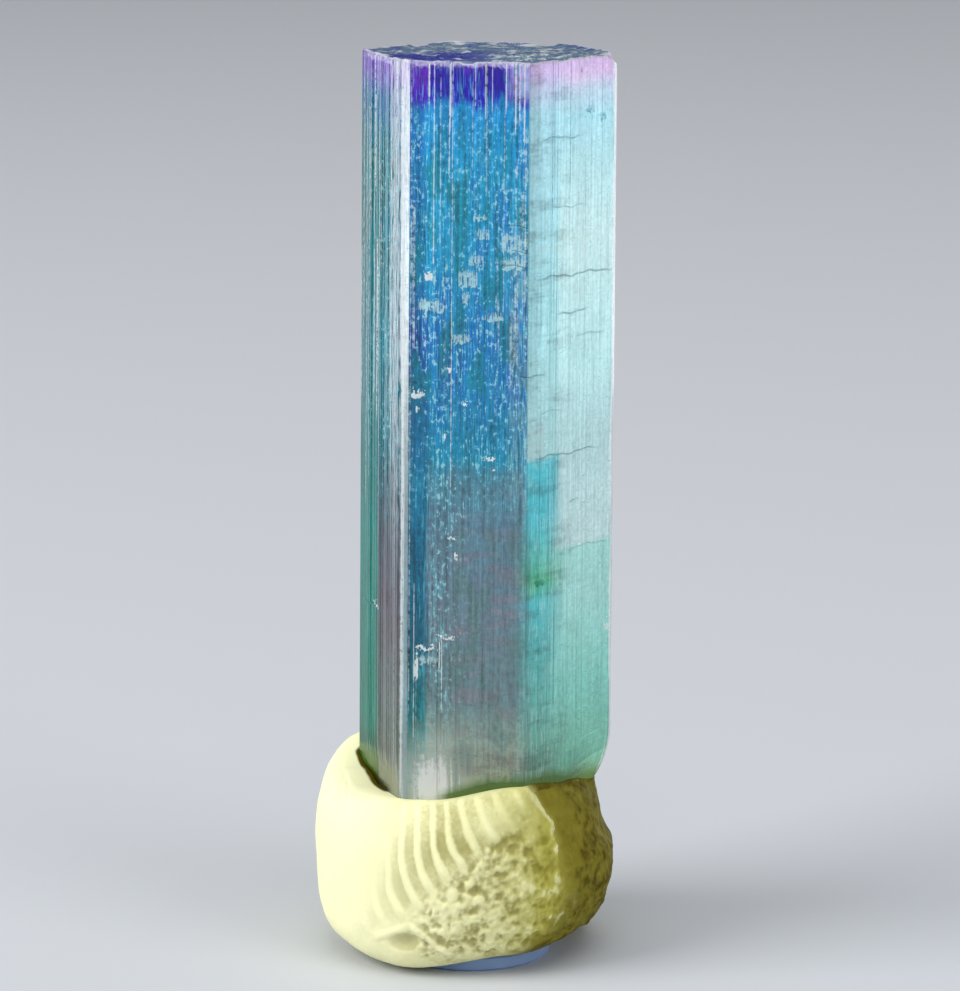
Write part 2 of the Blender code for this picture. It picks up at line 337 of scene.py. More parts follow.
def outlineRadius(azimuth):
    reach = np.full(np.shape(azimuth), np.inf)
    for facing, distance in sides:
        away = turnBetween(azimuth, facing)
        near = abs(away) < 60
        away = np.where(near, away, 0)
        reach = np.where(near, np.minimum(reach, distance / np.cos(np.radians(away))), reach)
    return reach


def outlineCorners():
    corners = []
    for (first, near), (second, far) in zip(sides, sides[1:] + sides[:1]):
        opening = math.radians(turnBetween(second, first))
        along = (far - near * math.cos(opening)) / math.sin(opening)
        corners.append(first + math.degrees(math.atan2(along, near)))
    return corners


def prismRadius(azimuth, height):  # height above the crystal's foot
    tall, deep = roundTrip(crystal["footTall"], azimuth), roundTrip(crystal["footDeep"], azimuth)
    drop = np.clip(1 - height / tall, 0, 1)
    inset = deep * (1 - np.sqrt(1 - drop * drop))
    return outlineRadius(azimuth) * (1 - crystal["taper"] * height / crystal["length"]) - inset


def growthStrips(chance, low, high, share):  # (start, end, level) of each flat strip across a wide face
    strips, place, level = [], low, 0
    while place < high - 0.05:
        kind = "thinStrip" if chance.random() < 0.5 else "wideStrip"
        end = min(place + chance.uniform(*crystal[kind]), high)
        strips.append((place, end, level))
        rise = chance.uniform(*crystal["stepRise"]) * share
        uphill = (end < (low + high) / 2) != (chance.random() < 0.35)
        level = max(0, level + (rise if uphill else -rise))
        place = end + rise / math.tan(math.radians(30))
    return strips


def levelHeights():  # of the rings up the prism, closer together at each crack and ledge
    heights = list(np.arange(0.6, crystal["length"] - 0.3, crystal["levelHeight"]))
    for height, *_ in crystal["cracks"]:
        heights += [height - 0.04, height, height + 0.04]
    for _, _, end, _ in crystal["ledges"]:
        heights += [end - 0.02, end + 0.02]
    return np.array(sorted(heights))


def sideRelief(heights):  # (azimuths, height of the growth lines, and how pale each line is as a painted glint) on every ring
    corners = outlineCorners()
    columns = []
    blank = heights * 0
    for k in range(6):
        chance = random.Random(crystal["seed"] * 10 + k)
        share = crystal["faceRelief"][k]
        facing, distance = sides[2 * k]
        first, last = corners[2 * k - 1] - (360 if k == 0 else 0), corners[2 * k]
        low, high = (distance * math.tan(math.radians(end - facing)) for end in (first, last))
        columns.append((first, blank, blank))
        for start, end, level in growthStrips(chance, low + 0.04, high - 0.04, share):
            levels = blank + level
            for _ in range(chance.choice((0, 1, 1, 2, 3))):
                turn = chance.uniform(0, crystal["length"])
                levels += (heights > turn) * chance.uniform(-1, 1) * crystal["stripDrift"]
            pale = blank
            if end - start < 0.09 and k != 1:  # thin strips glint, but not on the pale right face
                middle, half, pale = (chance.uniform(*limits) for limits in crystal["glint"])
                pale = pale * (crystal["frontGlint"] if k == 0 else 1) * (abs(heights - middle) < half)
            pieces = max(1, round((end - start) / 0.16))
            for place in np.linspace(start, end, pieces + 1):
                azimuth = facing + math.degrees(math.atan2(place, distance))
                columns.append((azimuth, np.maximum(levels, 0), pale))
        columns.append((last, blank, blank))
    columns.sort(key=lambda column: turnBetween(column[0], 0))
    azimuths = np.array([turnBetween(column[0], 0) for column in columns])
    # More columns where ledges and single lines have their edges
    edges = [a + side for low, high, *_ in crystal["ledges"] for a in (low, high) for side in (-0.3, 0.3)]
    edges += [azimuth + side for azimuth, half, *_ in crystal["lines"] for side in (-half, 0, half)]
    merged = np.sort(np.concatenate([azimuths, edges]))

    def spread(index):  # one value of every column, at all the merged azimuths
        rows = np.stack([column[index] for column in columns], 1)
        return np.stack([np.interp(merged, azimuths, row) for row in rows])

    relief, lines = spread(1), spread(2)
    for azimuth, half, low, high, pale in crystal["lines"]:
        near = np.clip(1 - abs(turnBetween(merged, azimuth)) / half, 0, 1)
        along = between(low - 0.4, low, high, high + 0.4, heights)
        added = np.outer(along, pale * near)
        lines = np.where(abs(added) > abs(lines), added, lines)
    return merged, relief, lines


def addBreaks(azimuths, heights, relief):  # ledges, cracks and pits, and how cracked each point is
    cracked = relief * 0
    for low, high, end, rise in crystal["ledges"]:
        relief += rise * np.outer(heights < end, (azimuths > low) & (azimuths < high))
    for height, low, high, deep in crystal["cracks"]:
        middle, half = (low + high) / 2, (high - low) / 2
        inside = 1 - smooth(half * 0.7, half, abs(turnBetween(azimuths, middle)))
        inside = np.outer(abs(heights - height) < 0.01, inside)
        relief -= deep * inside
        cracked += min(1, deep / 0.02) * inside
    chance = random.Random(crystal["seed"])
    for _ in range(crystal["pits"]):
        level, column = chance.randrange(12, len(heights) - 3), chance.randrange(len(azimuths))
        relief[level, column] -= chance.uniform(0.006, 0.016)
    return relief, np.minimum(cracked, 1)


def crystalMesh():
    heights = levelHeights()
    azimuths, relief, lines = sideRelief(heights)
    relief, cracked = addBreaks(azimuths, heights, relief * smooth(1, 2.2, heights)[:, None])
    wave = sum(size * np.sin(turns * azimuths + start) for size, turns, start in crystal["crackWaves"])
    tall = roundTrip(crystal["footTall"], azimuths)
    rimHeight = crystal["length"] - 0.1 - rimDip(azimuths)
    across = outwards(azimuths)
    under = across * prismRadius(azimuths, 0)[:, None]
    rings = [ring(under * share, 0) for share in (0.5, 1)]
    for tilt in range(10, 90, 8):
        level = tall * (1 - math.cos(math.radians(tilt)))
        rings.append(ring(across * prismRadius(azimuths, level)[:, None], level))
    foot = len(rings)
    blendFrom, blendTo = crystal["blend"]
    bottom = np.maximum(tall, 0.6)
    for height, raised in zip(heights, relief):
        level = height + wave
        if height <= blendTo:
            level = bottom + (blendTo - bottom) * (height - blendFrom) / (blendTo - blendFrom)
        rings.append(ring(across * (prismRadius(azimuths, level) + raised)[:, None], level))
    rim = across * (prismRadius(azimuths, crystal["length"]) + relief[-1])[:, None]
    rings.append(ring(rim, rimHeight - 0.1))
    topFrom = len(rings)
    for share in (0.99, 0.975, 0.955, 0.93, 0.9, *np.linspace(0.87, 0.04, 38)):
        rings.append(topRing(rim, rimHeight, share))
    low, high = leaned(np.array([[0, 0, 0], [*crystalTop["hill"], crystal["length"] - 0.06]]))
    mesh = skin("crystalBody", leaned(np.array(rings)), low, high)
    marks = np.zeros((3, len(rings), len(azimuths)))
    marks[0, foot:topFrom] = [*lines, lines[-1]]
    marks[1, foot:topFrom - 1] = cracked
    marks[2, topFrom:] = 2  # 0 on the sides, 1 round the rim, 2 over the top
    marks[2, topFrom:topFrom + 2] = 1
    for name, values in zip(("lines", "cracks", "top"), marks):
        mark(mesh, name, values, 2)
    return mesh


# The broken top: chips round its rim, low growth steps and a rough floor
crystalTop = dict(
    hill=(0.7, -0.9),  # where the steps lead to, from the axis
    steps=((0.83, 0.8), (0.6, 0.57), (0.35, 0.32)),
    stepHeight=0.04,
    # Chips in the rim: azimuth, half width in degrees, depth
    chips=(
        (-12, 4, 0.05), (-31, 3, 0.04), (-60, 6, 0.05), (38, 5, 0.05), (85, 8, 0.25), (150, 5, 0.1),
        (-140, 8, 0.08),
    ),
    floor=0.2,  # its depth below the prism's full length
    rough=((0.07, 0.8), (0.035, 0.26), (0.015, 0.1)),  # (depth, grain size)
)


def rimDip(azimuths):  # how far the broken rim lies below its highest level
    points = ring(outwards(azimuths) * (4, -4), 0)
    dip = 0.05 + 0.035 * grain(points, 0.8, 3, seed=2) + 0.025 * grain(points, 0.22, 2, seed=3)
    for azimuth, half, depth in crystalTop["chips"]:
        dip += depth * (1 - smooth(half * 0.5, half, abs(turnBetween(azimuths, azimuth))))
    return np.maximum(dip, 0)


def topRing(rim, rimHeight, share):
    place = rim * share + np.array(crystalTop["hill"]) * (1 - share)
    points = ring(place, 0)
    wobble = 0.05 * grain(points, 0.7, 2, seed=12)
    steps = sum(smooth(foot, head, share + wobble) for foot, head in crystalTop["steps"])
    flat = crystal["length"] - crystalTop["floor"] + crystalTop["stepHeight"] * steps
    for seed, (depth, size) in enumerate(crystalTop["rough"]):
        flat += depth * (grain(points, size, 2, seed=4 + seed) - 0.3)
    near = smooth(0.88, 1, share)
    height = flat * (1 - near) + rimHeight * near
    return ring(place, np.minimum(height, crystal["length"] - 0.01))


def leaned(points):  # from the crystal's own upright frame to where it stands
    turn = math.radians(crystal["lean"])
    cosine, sine = math.cos(turn), math.sin(turn)
    x, y, z = np.moveaxis(points, -1, 0)
    return np.stack([x * cosine + z * sine + axisX, y + axisY, z * cosine - x * sine + crystalFoot], -1)


# Colours up the crystal: (height above the floor, red, green, blue)
crystalLook = dict(
    leftGreen=[
        (5.5, 20, 70, 4), (6.6, 20, 102, 54), (8, 0, 130, 104), (14, 0, 128, 116), (20, 0, 110, 122),
        (26, 0, 124, 130), (28.4, 0, 100, 160), (29, 120, 80, 190),
    ],
    leftMauve=[
        (5.5, 140, 144, 120), (8, 112, 120, 112), (12, 104, 88, 100), (16, 50, 84, 100), (17, 0, 110, 124),
        (27, 10, 128, 152), (28.5, 70, 106, 180), (29, 140, 100, 200),
    ],
    # The narrow bevel face, near-white all the way up: a painted highlight, not its own colour
    bevel=[
        (6, 198, 220, 216), (12, 216, 238, 248), (17, 250, 252, 250), (28, 252, 252, 255),
        (29.4, 240, 232, 255),
    ],
    strip=[
        (6, 150, 164, 150), (7.6, 80, 140, 130), (8.6, 0, 120, 130), (11, 0, 92, 124), (16.5, 0, 110, 154),
        (21, 0, 60, 160), (23, 0, 120, 176), (28.2, 0, 116, 190), (28.5, 50, 0, 180), (29.6, 110, 20, 190),
    ],
    middle=[
        (6, 176, 184, 140), (7.5, 156, 170, 154), (9.2, 104, 128, 134), (12, 104, 122, 138),
        (15.2, 86, 124, 146), (16.5, 64, 128, 152), (17, 0, 130, 168), (18, 0, 126, 180),
        (21, 0, 112, 186), (23, 0, 146, 200), (26, 0, 154, 206), (28.2, 0, 146, 220), (28.5, 10, 0, 180),
        (29.3, 30, 0, 170), (29.6, 90, 40, 190),
    ],
    rightTeal=[
        (6, 110, 150, 80), (6.8, 118, 170, 146), (9, 104, 196, 186), (12.4, 70, 206, 214),
        (13, 50, 190, 126), (13.8, 84, 204, 190), (15, 70, 214, 230), (16.95, 80, 214, 230),
        (17.1, 200, 246, 246), (22, 180, 240, 246), (28, 190, 244, 255), (28.8, 224, 224, 255),
        (29.4, 246, 208, 255),
    ],
    # The pale right face: partly its own pale colour, partly painted light standing in for light shining
    # through the crystal
    right=[
        (6, 110, 150, 80), (6.8, 130, 206, 180), (9.5, 150, 232, 218), (12.5, 190, 250, 242),
        (13.85, 190, 252, 242), (14, 226, 255, 255), (20, 206, 250, 250), (24, 224, 255, 252),
        (27.8, 190, 246, 255), (28.6, 220, 238, 255), (29.1, 255, 222, 255), (29.5, 250, 214, 255),
    ],
    back=[
        (5.5, 150, 170, 130), (8, 160, 200, 186), (14, 190, 224, 222), (20, 196, 230, 234),
        (26, 196, 232, 238), (28.3, 190, 224, 246), (28.9, 190, 170, 236), (29.6, 216, 200, 240),
    ],
    top=(84, 116, 140),
    # Colours that are laid over those
    tints=dict(
        mauve=(136, 112, 124), dullTeal=(92, 134, 132), deepBlue=(0, 84, 180), seaGreen=(0, 136, 150),
        greyed=(132, 174, 184), lilac=(206, 188, 240), streaks=(206, 240, 240), whiteRim=(250, 255, 255),
        blotches=(0, 84, 84), worn=(110, 136, 146), crest=(214, 200, 236), thinLines=(80, 204, 222),
        besideBevel=(226, 226, 234), grooves=(96, 120, 130), cloudy=(200, 230, 232), specks=(160, 224, 232),
        milky=(252, 255, 255), footHaze=(214, 224, 214), footWhite=(255, 255, 252), olive=(84, 120, 16),
        seam=(78, 116, 0), gap=(44, 44, 0), topPale=(206, 212, 208), topNavy=(0, 10, 140),
        topRim=(236, 230, 240),
    ),
    darkening=(0.15, 0.4, 0.42, 1),  # what dark marks leave of each colour
    absorbs=(0.5, 0.86, 0.9, 1),
    absorption=25,  # per metre
    # Marks as (across, height, half width, half height): milky flecks and hooks, then cloudy blocks
    flecks=[
        (-2.32, 19.05, 0.2, 0.14), (-2.28, 18.6, 0.05, 0.14), (-1.31, 19.87, 0.05, 0.1),
        (-0.77, 18.81, 0.1, 0.05), (-1.4, 17.76, 0.08, 0.05), (0.07, 17.07, 0.16, 0.06),
        (0.17, 16.68, 0.05, 0.06), (-1.17, 14.43, 0.18, 0.04), (-1.03, 13.85, 0.05, 0.07),
        (-1.92, 22.84, 0.15, 0.14), (-3.62, 11.72, 0.07, 0.06), (3.9, 11, 0.08, 0.14),
        (-1.54, 10.65, 0.04, 0.53), (-1.27, 11.18, 0.27, 0.05), (-2.3, 10.22, 0.04, 0.46),
        (-1.97, 10.8, 0.3, 0.06),
    ],
    blocks=[
        (-0.35, 24.75, 0.22, 0.09), (-0.25, 24.2, 0.22, 0.14), (-0.45, 23.4, 0.22, 0.16),
        (0.75, 23.95, 0.42, 0.28), (0.75, 23.3, 0.42, 0.16), (-0.7, 22.8, 0.28, 0.28),
        (-0.75, 22.2, 0.16, 0.16), (-1.9, 21.9, 0.4, 0.18), (0.1, 21.6, 0.3, 0.12),
        (-0.9, 20.9, 0.3, 0.14), (1.5, 17.6, 0.3, 0.5), (2, 23.75, 0.5, 0.1), (-1.93, 10.44, 0.33, 0.16),
    ],
    footPatch=(-1.75, 6.3, 0.5, 0.7),
    # Dark smudges as (azimuth, height, half of each)
    smudges=[
        (62, 28, 4, 0.1), (72, 27.7, 3, 0.14), (54.7, 29.2, 1.2, 0.12), (25, 13, 5, 0.12),
        (-94, 28, 2, 0.3),
    ],
    # Height of the putty's rim against the crystal, by azimuth
    puttyRim=[(-100, 6.2), (-70, 5.85), (-30, 5.9), (20, 6.5), (50, 6.2), (90, 5.9)],
)


class CrystalShading(Shading):  # with the crystal's coordinates, noises and masks
    backSeam = 101  # azimuth where the coordinates round the prism meet
    roundShare = 0.066  # millimetres round the prism for each degree

    def __init__(self):
        super().__init__("tourmaline", crystalLook["tints"])
        lean = math.tan(math.radians(crystal["lean"]))
        self.across = self.x - (self.z * lean + (axisX - lean * crystalFoot))
        turn = self.math("ARCTAN2", self.across, axisY - self.y) * (180 / math.pi) + self.backSeam
        self.azimuth = self.math("FLOORED_MODULO", turn, 360) - self.backSeam
        self.surface = self.join(self.azimuth * self.roundShare, self.z, 0)

        # Grain, from fine lines up the prism to broad patches
        self.fine = self.grainUp(0.03, 9, 2)
        self.finer = self.grainUp(0.06, 24, 1)
        self.patch = self.grainUp(0.4, 1.5, 1)
        self.etch = self.grainUp(0.7, 7, 2, 0.7)
        level = self.vector("MULTIPLY", self.surface, (0.45, 1.9, 0))
        self.creases = self.noise(level, 1.1, 3, 0.6, flat=True)

        # Where things are, with borders that waver along the grain
        self.side = self.across - 0.15 + self.fine * 0.3
        self.raggedHeight = self.z - 0.25 + self.etch * 0.5
        self.front = self.slope(self.azimuth, 95, 90)
        self.low = self.slope(self.z, 17, 13)
        self.narrow = self.slope(self.z, 22, 15)  # where the painted white highlight on the bevel gets narrower
        self.lowMiddle = self.low * self.slope(self.azimuth, -22, -14)
        self.onBevel = self.band(self.azimuth, -43.2, -38.4, 0.3)
        self.onRight = self.slope(self.azimuth, 16.5, 17.5)
        lowLeft = self.low * self.slope(self.azimuth, -38, -43)
        calm = self.either(self.lowMiddle, lowLeft, self.slope(self.azimuth, -62, -74))
        self.lively = (calm * -0.7 + 1) * (1 - self.either(self.onBevel, self.onRight))

    def grainUp(self, stretch, scale, detail, roughness=0.55):  # flat noise round the prism, drawn out
        place = self.vector("MULTIPLY", self.surface, (1, stretch, 0))
        return self.noise(place, scale, detail, roughness, flat=True)

    def rising(self, name, height):  # a row of colours up the crystal
        return self.colours(height, crystalLook[name])


def middleColour(look, height):  # the blue face, with its teal strip at the left
    slope, low = look.slope, look.lowMiddle
    strip, middle = look.rising("strip", height), look.rising("middle", height)
    upper = look.band(look.z, 18.5, 27, 1.5)
    byRight = slope(look.azimuth + look.fine * 6, 10, 15)
    return look.tint(
        look.blend(slope(look.side, -2.05, -1.85), strip, middle),
        mauve=low * slope(look.creases, 0.46, 0.66) * 0.4,
        dullTeal=low * slope(look.patch, 0.5, 0.36) * 0.5,
        deepBlue=upper * slope(look.patch, 0.54, 0.7) * 0.5,
        seaGreen=upper * slope(look.patch, 0.48, 0.36) * 0.6,
        greyed=byRight * look.band(look.z, 15.8, 24, 0.8) * slope(look.finer, 0.35, 0.62) * 0.6,
        lilac=byRight * slope(look.z, 28.2, 28.9) * 0.7,
    )


def rightColour(look, height):  # the pale face, partly its own colour and partly painted light shining through, with blocks of teal and green at its left
    edgeAt = look.azimuth - 7 + look.fine * 14
    teal, pale = look.rising("rightTeal", height), look.rising("right", height)
    return look.tint(
        look.blend(look.border(edgeAt, 37, look.low * 8 + 4), teal, pale),
        # pale streaks here are painted glints off the growth lines
        streaks=look.slope(look.finer, 0.5, 0.72) * look.slope(edgeAt, 50, 36) * 0.4,
        # a painted highlight down the right edge
        whiteRim=look.slope(look.azimuth + look.fine * 4, 81.2, 82) * 0.9,
    )


def faceColours(look):  # from the left round to the back, each face takes over from the one before it
    azimuth, z, slope = look.azimuth, look.z, look.slope
    wander = look.patch * 0.8 + (look.fine * 0.6 - 0.7)
    height = z + wander
    whiteEdge = azimuth + look.finer * 1.6 + look.narrow * -2.2
    colour = look.rising("leftGreen", height)
    for share, face in (
        (slope(azimuth, -73, -71), look.rising("leftMauve", height)),
        (slope(whiteEdge, -43.2, -42.2), look.rising("bevel", height)),
        (slope(azimuth, -38.7, -38.1), middleColour(look, height)),
        (look.border(azimuth, 17, look.low * 6 + 0.3), rightColour(look, z + wander * 0.25)),
        (slope(azimuth, 85.2, 85.8), look.rising("back", height)),
    ):
        colour = look.blend(share, colour, face)
    blotches = slope(look.patch + look.etch * 0.8, 0.78, 0.95) * look.band(z, 22, 28.2, 2)
    worn = slope(azimuth + look.fine * 3, -39.6, -38.8) * slope(azimuth, -37.6, -38.2)
    atTop = slope(z + look.etch * 0.3, 29.58, 29.7)
    return look.tint(
        colour,
        blotches=blotches * slope(azimuth, -44, -50) * 0.85,
        worn=look.narrow * worn * 0.8,
        # a painted highlight along the faces' top edge
        crest=atTop * slope(azimuth, 18, 16) * slope(azimuth, -100, -90) * 0.7,
    )


def grained(look, colour):  # lighter and darker bands, quieter on the pale faces and low down
    tone = look.fine * 1.6 + (look.etch * 1.5 - 1.85) + look.patch * 0.6
    tone = tone * (look.lively * 0.6 + 0.4) + 1
    blotch = look.slope(look.creases, 0.5, 0.7) * look.slope(look.azimuth, 62, 30) * look.onRight
    return look.vector("SCALE", colour, Scale=look.either(tone - blotch * 0.3, 0.2))


def paleMarks(look, colour):  # returns the colour, where it is milky, and the white at the foot
    z, etch, finer, slope = look.z, look.etch, look.finer, look.slope
    # Cloudy blocks, and specks that gather round them
    place = look.join(look.side, look.raggedHeight, 0)
    cloudy = look.nearest(place, crystalLook["blocks"], square=True)
    cloudy = slope(cloudy + finer * 0.9, 1.6, 1.3) * look.front
    specks = slope(etch + cloudy * 0.07 + finer * 0.35 + look.patch * 0.25, 0.9, 1.04)
    column = look.band(look.side, -1.8, -0.7, 0.2) * slope(z, 8, 10)
    where = look.either(slope(z, 14.5, 17.5), column) * slope(z, 29, 27)
    # Solid flecks, bright lines painted as glints, and the white patch at the foot
    flecks = look.nearest(place, crystalLook["flecks"]) + etch * 2.4
    lines = look.marked("lines")
    paintedGlints = lines * slope(etch + lines * 0.5, 0.52, 0.78)
    # milky white: real flecks, and painted glints along the bright lines
    milky = look.either(slope(flecks, 2.3, 1.9) * look.front, paintedGlints) * 0.9
    near = look.nearest(place, [crystalLook["footPatch"]]) + etch * 1.2 + look.fine * 2.4
    footWhite = slope(near, 3.5, 2.3) * look.front * 0.95
    colour = look.tint(
        colour,
        # fine pale lines up the prism: painted glints
        thinLines=slope(finer, 0.55, 0.7) * slope(look.patch, 0.3, 0.6) * look.lively * 0.55,
        # a pale painted sheen beside the bright bevel
        besideBevel=look.band(look.azimuth, -56, -42, 2) * slope(z, 12, 19) * slope(finer, 0.35, 0.6) * 0.7,
        grooves=look.onBevel * slope(finer, 0.5, 0.3) * slope(z, 14, 18) * 0.35,
        cloudy=cloudy * look.either(slope(finer, 0.4, 0.6), slope(etch, 0.45, 0.6)) * 0.75,
        specks=specks * where * look.lively * 0.85,
        milky=milky,
        footHaze=slope(near, 5, 3.2) * look.front * 0.45,
        footWhite=footWhite,
    )
    return colour, milky, footWhite


def darkMarks(look, colour, footWhite):  # cracks, dark lines, smudges and faint creases
    smudged = look.nearest(look.join(look.azimuth, look.raggedHeight, 0), crystalLook["smudges"])
    creased = look.slope(abs(look.creases - 0.52), 0.014, 0.004) * look.slope(look.fine, 0.42, 0.6)
    cracks, lines = look.marked("cracks") * 0.7, look.marked("lines") * -1
    dark = look.either(cracks, lines, look.slope(smudged, 1.1, 0.6), creased * 0.6)
    dark = dark * look.slope(look.etch, 0.3, 0.6) * (0.95 - footWhite)
    return look.blend(dark, colour, crystalLook["darkening"], "MULTIPLY")


def footColours(look, colour):  # the putty's olive painted in where it shows through, a painted contact shadow along its rim, and painted shade in the gap at the left
    azimuth, slope = look.azimuth, look.slope
    above = look.z - look.steps(azimuth, crystalLook["puttyRim"])
    rightOf, leftOf = look.front * slope(azimuth, -27, -17), look.front * slope(azimuth, -72, -80)
    return look.tint(
        colour,
        olive=look.either(slope(above, 0.35, 0) * rightOf * 0.7, slope(above, 0.9, 0.2) * leftOf * 0.7),
        seam=slope(above + look.etch * 0.08, 0.12, 0.05) * rightOf * 0.7,
        gap=slope(above, 0.2, 0.08) * slope(azimuth, -50, -62) * look.front * 0.9,
    )


def topColours(look, colour):  # pale flakes, dark outlines and a blue patch on grey-green, and a painted highlight round the rim
    slope = look.slope
    where = look.marked("top")
    onTop = slope(where, 0.9, 1.3)
    flakes = look.noise(look.vector("MULTIPLY", look.place, (0.8, 1.6, 1)), 1.2, 3, 0.6, flat=True)
    level = look.split(look.node("NewGeometry").outputs["True Normal"])[2]
    navy = look.band(look.y, -2.4, 0.6, 0.5) * slope(look.x, 1.9, -0.4) * slope(flakes, 0.66, 0.54)
    outline = slope(abs(flakes - 0.47), 0.035, 0.01) * 0.8
    top = look.tint(linear(crystalLook["top"]), topPale=slope(flakes, 0.56, 0.66))
    top = look.tint(top, topPale=slope(level, 0.96, 0.85), topNavy=look.either(navy, outline))
    # painted highlight round the rim
    atRim = slope(abs(where - 1), 0.7, 0.2) * slope(flakes, 0.35, 0.55) * 0.8
    return look.tint(look.blend(onTop, colour, top), topRim=atRim), onTop


def crystalFinish():
    look = CrystalShading()
    colour, milky, footWhite = paleMarks(look, grained(look, faceColours(look)))
    colour = footColours(look, darkMarks(look, colour, footWhite))
    colour, onTop = topColours(look, colour)
    relief = look.noise(look.vector("MULTIPLY", look.place, (1, 1, 0.12)), 9, 1)
    look.set(Base_Color=colour, Roughness=look.either(milky, onTop) * 0.3 + 0.12, IOR=1.63)
    look.set(Transmission_Weight=0.5, Specular_IOR_Level=0.14, Normal=look.bump(relief, 0.5, 0.02))
    soak = look.node("VolumeAbsorption")
    look.fill(soak, Color=crystalLook["absorbs"], Density=crystalLook["absorption"])
    look.put(look.tree.nodes["Material Output"].inputs["Volume"], soak.outputs[0])
    return look.material


body = addPiece("crystalBody", crystalMesh(), crystalFinish(), 5)
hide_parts("crystal")
print("crystal:", len(body.data.polygons), "faces")


# The putty: a hand-pressed lump whose rim hugs the crystal
putty = dict(
    rimHeight=[
        (-160, 6.4), (-115, 6.8), (-90, 6), (-70, 5.7), (-30, 5.8), (20, 6.4), (50, 6.1), (85, 5.75),
    ],
    girth=[
        (-135, 5.35), (-90, 5.64), (-55, 5.55), (20, 4.7), (60, 4.35), (90, 4.2), (130, 4.5), (180, 4.9),
    ],
    girthHeight=[(-90, 3.6), (0, 3.2), (60, 3), (90, 3), (180, 3.2)],
    skirtReach=[(-80, 4.1), (-42, 3.95), (10, 3.5), (60, 3.2), (100, 3.2), (140, 3.9), (180, 4.1)],
    skirtHeight=[(-130, 0.02), (-85, 0.45), (-42, 0.14), (10, 0.6), (70, 0.9), (125, 0.02)],
    lowerFullness=[(-90, 0.6), (-42, 0.75), (0, 0.95), (45, 1.15), (90, 1.1), (180, 0.8)],
    upperFullness=[(-125, 0.6), (-80, 0.6), (-40, 0.8), (90, 0.82), (180, 0.8)],
    hollow=2.7,  # radius of the hollow round the disc
    hollowTop=0.52,
    pressDepth=0.36,
    fold=((1.6, 6.4), (2.95, 3.9)),  # (x, height) of both ends of the crease beside the pressed flat
    # The pressed side, painted dark as shade, starts right of this line of (height, x)
    pressedEdge=[
        (0.6, 1), (0.9, 1.45), (1.6, 2.4), (2.7, 2.84), (4.3, 2.84), (5.1, 2.62), (6.3, 1.9), (7, 1.5),
    ],
    ridgeStart=(-3.63, 2.67),  # x of the first finger ridge and the height where it starts to bend
    ridgeStep=(0.48, 0.466),
    ridgeBend=0.24,
    ridgeRelief=0.06,
    ridgesBreak=(-2, 2.6, 0.84),  # x, height and slope of the line where the ridges break up
    ridgesFrom=(-3, 2.8, 0.33),  # x, height and lean of the line where they start
    netCell=0.36,  # spacing of the crumpled marks that the ridges break up into
    netRelief=0.06,
    dent=(-2.17, 1.3, 0.6, 0.42, 0.2),  # x, height, half width, half height, depth
    # Brows over the dent: x, height, slope, half height at the crest and at the edge, where it starts,
    # is full, fades and ends, and how far it stands out
    brows=(
        (-1.87, 1.85, -0.79, 0.0508, 0.2032, (-2.1, -1.8, -0.9, -0.6), 0.08),
        (-2.1, 1.85, 0.5, 0.0448, 0.224, (-3.3, -2.9, -2.2, -1.9), 0.048),
    ),
    nick=(-4.15, 5.6, 0.12, 0.22, 0.03),  # a ring: x, height, half width, half height, depth
    lip=0.05,  # how far the fold's edge stands out
    letIn=0.1,  # how far the side right of it is let in
    levels=150,
)


def lumpSide(azimuths, tilt):  # (reach, height): tilt is -90 at the skirt, 0 at the girth, 90 at the rim
    girth, middle = roundTrip(putty["girth"], azimuths), roundTrip(putty["girthHeight"], azimuths)
    turn = math.radians(abs(tilt))
    if tilt < 0:
        endReach = roundTrip(putty["skirtReach"], azimuths)
        endHeight = roundTrip(putty["skirtHeight"], azimuths)
        full = roundTrip(putty["lowerFullness"], azimuths)
    else:
        endHeight = roundTrip(putty["rimHeight"], azimuths)
        endReach = prismRadius(azimuths, endHeight - crystalFoot) + 0.05
        full = roundTrip(putty["upperFullness"], azimuths)
    reach = endReach + (girth - endReach) * abs(math.cos(turn)) ** full
    height = middle + (endHeight - middle) * math.sin(turn) ** full
    if tilt > 0:
        reach = np.maximum(reach - pressedFlat(azimuths, reach, height), endReach)
    return reach, height


def pressedFlat(azimuths, reach, height):  # how far the pressed side stands back, right of the fold
    (x0, z0), (x1, z1) = putty["fold"]
    x = axisX + reach * np.sin(np.radians(azimuths))
    right = ((x - x0) * (z0 - z1) + (height - z0) * (x1 - x0)) / math.hypot(x1 - x0, z1 - z0)
    beside = smooth(-0.1, 0.55, right) * (1 - smooth(95, 140, azimuths)) * (azimuths > 0)
    return putty["pressDepth"] * beside * smooth(3.4, 4.3, height)


def fingerRidges(x, z):  # side by side, straight down from the rim and then bent to the right
    (startX, startZ), (stepX, stepZ) = putty["ridgeStart"], putty["ridgeStep"]
    lean, bend = stepX / stepZ, putty["ridgeBend"]
    past = x - startX - lean * (z - startZ)
    root = np.sqrt(lean ** 2 + 4 * bend * np.maximum(past, 0))
    below = np.where(past > 0, (root - lean) / (2 * bend), past / lean)  # how far under the bend's start
    wave = np.cos(2 * math.pi * (below + z - startZ) / stepZ)
    return 1.3 * np.maximum(wave + 0.15, 0) - 0.6


def pastFold(side, azimuths):  # how far right of the fold, where the lump was pressed flat
    edge = np.interp(side[..., 2], *zip(*putty["pressedEdge"])) + 0.06 * grain(side, 0.5, 2, seed=16)
    return np.where(abs(azimuths) < 90, side[..., 0] - edge, np.where(azimuths > 0, 9, -9))


def inEllipse(x, z, centreX, centreZ, halfX, halfZ):  # 0 in the middle, 1 at the edge
    return np.hypot((x - centreX) / halfX, (z - centreZ) / halfZ)


